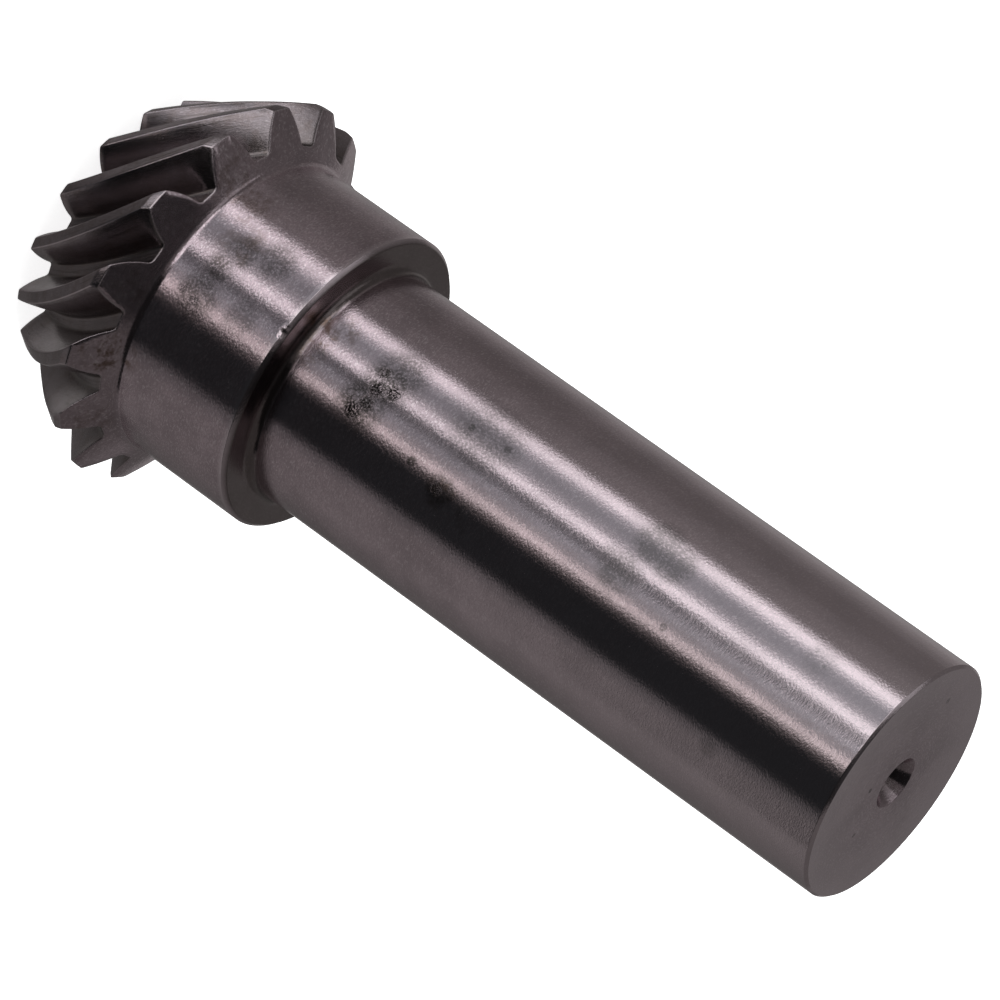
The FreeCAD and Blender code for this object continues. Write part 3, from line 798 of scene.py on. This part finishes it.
# The cards that the steel sees round it: azimuths, elevations, how bright they are and how warm their grey.
# White is no card at all, so the white background shows there. Later rows cover earlier ones.
WHITE = 1.0
CARDS = [
    # the room, its dark ceiling, the black card beside the camera and a grey one beyond it
    (-180, 180, -90, 90, 0.095, 0.4),
    (-180, 180, 66, 90, 0.025, 0.0),
    (38, 125, -18, 66, 0.010, 0.0),
    (105, 180, 12, 66, 0.085, 0.5),
    # what the shaft's end face sees
    (-180, -118, 8, 40, 0.13, 0.3),
    # the bright side that lights the upper flanks and the crown
    (-75, -14, 36, 60, 0.30, 0.0),
    (-18, 28, -14, 30, 0.95, 0.0),
    (-32, -18, -16, 20, 0.5, 0.0),
    # below: two soft patches that light the lower teeth
    (-150, -90, -64, -32, 0.2, 0.3),
    (-85, -35, -80, -50, 0.22, 0.3),
    # the bands along the shaft and the collar, from its dark lower side to its grey upper side
    (-180, -165, -50, -14, 0.095, 0.4),
    (172, 180, -50, -14, 0.10, 0.4),
    (164, 172, -50, -14, 0.108, 0.4),
    (157, 164, -50, -14, 0.117, 0.4),
    (150, 157, -50, -14, 0.127, 0.4),
    (142, 150, -50, -14, 0.138, 0.4),
    (100, 142, -50, -14, 0.15, 0.4),
    (92, 100, -50, -14, 0.12, 0.2),
    (88, 92, -50, -14, 0.06, 0.0),
    (52, 88, -75, -33, 0.05, 0.0),
    (52, 88, -33, -10, 0.015, -1.0),
    (47, 52, -50, -12, 0.07, 0.6),
    (44, 47, -50, -12, 0.25, 0.6),
    (37, 44, -50, -10, 0.70, 0.6),
    (30, 37, -50, -10, 0.31, 0.0),
    (23, 30, -50, -10, 0.29, -0.6),
    (13, 23, -50, -10, 0.11, -0.6),
    (4, 12, -50, 4, WHITE, 0.0),
    (12, 13, -50, 4, 0.5, 0.0),
    (3, 4, -50, 4, 0.5, 0.0),
    (-3, 3, -50, 4, 0.36, -0.3),
    (-15, -3, -50, 4, 0.27, -0.6),
    (-20, -15, -50, 4, 0.38, -0.4),
    (-31, -20, -50, 4, WHITE, 0.0),
    (-36, -31, -50, 4, 0.20, 0.2),
    (-50, -36, -55, 4, 0.155, 0.4),
    (-62, -50, -55, 4, 0.13, 0.4),
    (-92, -62, -55, 4, 0.105, 0.5),
    (-104, -92, -55, 4, 0.135, 0.4),
    (-116, -104, -55, 4, 0.18, 0.4),
    (-165, -116, -38, 4, 0.23, 0.3),
]

# What a warmth of one adds to red, green and blue, and the size of the sphere of cards and of its cells
WARM = np.array([0.10, 0.0, -0.06])
TENT_RADIUS = 900.0
CELL_WIDTH = 1
CELL_HEIGHT = 2


def card_light(azimuth, elevation):
    """The colour of the card in one direction, or None where the white background shows."""
    light = None
    for first, last, low, high, value, warmth in CARDS:
        if first <= azimuth <= last and low <= elevation <= high:
            light = None if value == WHITE else value * (1 + warmth * WARM)
    return light


def make_tent():
    """The cards as one sphere round the part, seen only in its reflections."""
    points, faces, lights = [], [], []
    for low in range(-90, 90, CELL_HEIGHT):
        for first in range(-180, 180, CELL_WIDTH):
            light = card_light(first + CELL_WIDTH / 2, low + CELL_HEIGHT / 2)
            if light is None:
                continue
            start = len(points)
            last, high = first + CELL_WIDTH, low + CELL_HEIGHT
            for azimuth, elevation in ((first, low), (first, high), (last, high), (last, low)):
                across = TENT_RADIUS * math.cos(math.radians(elevation))
                up = TENT_RADIUS * math.sin(math.radians(elevation))
                points.append((place_on(across, azimuth, up) + Vector((0, 0, SHAFT_TOP / 2))) * MM)
            faces.append((start, start + 1, start + 2, start + 3))
            lights.append(light)
    mesh = bpy.data.meshes.new("card_tent")
    mesh.from_pydata(points, [], faces)
    attribute = mesh.attributes.new("light", "FLOAT_VECTOR", "FACE")
    attribute.data.foreach_set("vector", np.array(lights, np.float32).ravel())
    tent = bpy.data.objects.new("card_tent", mesh)
    bpy.context.scene.collection.objects.link(tent)
    material = bpy.data.materials.new("cards")
    material.use_nodes = True
    nodes = Nodes(material.node_tree)
    glow = nodes.put("ShaderNodeEmission", {"Color": nodes.attribute("light", "Vector"), "Strength": 1.0})
    nodes.put("ShaderNodeOutputMaterial", {"Surface": glow.outputs[0]})
    mesh.materials.append(material)
    tent.visible_camera = False
    tent.visible_diffuse = False
    tent.visible_transmission = False
    tent.visible_shadow = False


# The lamp's place and width in metres, and its power in watts
LAMP_PLACE = (-0.35, 0.25, 1.1)
LAMP_WIDTH = 0.9
LAMP_POWER = 9.0


def make_lamp():
    """A large soft lamp above, which gives the floor its light and the part its soft shadow."""
    data = bpy.data.lights.new("soft_lamp", "AREA")
    data.shape = "DISK"
    data.size = LAMP_WIDTH
    data.energy = LAMP_POWER
    lamp = bpy.data.objects.new("soft_lamp", data)
    lamp.location = LAMP_PLACE
    lamp.rotation_mode = "QUATERNION"
    lamp.rotation_quaternion = (-lamp.location).to_track_quat("-Z", "Y")
    lamp.visible_glossy = False
    bpy.context.scene.collection.objects.link(lamp)


# The photograph's camera, fitted to the shaft's end circle, the shoulder, the collar and the tooth tips
CAMERA_PLACE = Vector((549.60, 317.31, 330.74)) * MM
CAMERA_AIM = Vector((-0.403, -0.235, 58.087)) * MM
CAMERA_ROLL = math.radians(125.575)
CAMERA_LENS = 223.366
SENSOR = 36.0


def make_camera():
    data = bpy.data.cameras.new("camera")
    data.sensor_width = SENSOR
    data.lens = CAMERA_LENS
    data.clip_start = 0.01
    data.clip_end = 50.0
    camera = bpy.data.objects.new("camera", data)
    bpy.context.scene.collection.objects.link(camera)
    level = (CAMERA_AIM - CAMERA_PLACE).to_track_quat("-Z", "Y")
    camera.rotation_mode = "QUATERNION"
    camera.rotation_quaternion = level @ Quaternion((0, 0, 1), CAMERA_ROLL)
    camera.location = CAMERA_PLACE
    bpy.context.scene.camera = camera


make_camera()
pinion = build_pinion()
pinion.data.materials.append(steel_material())
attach(pinion, "root")
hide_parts(NODE)
make_world()
make_floor()
make_tent()
make_lamp()
bpy.context.scene.view_settings.view_transform = "Standard"
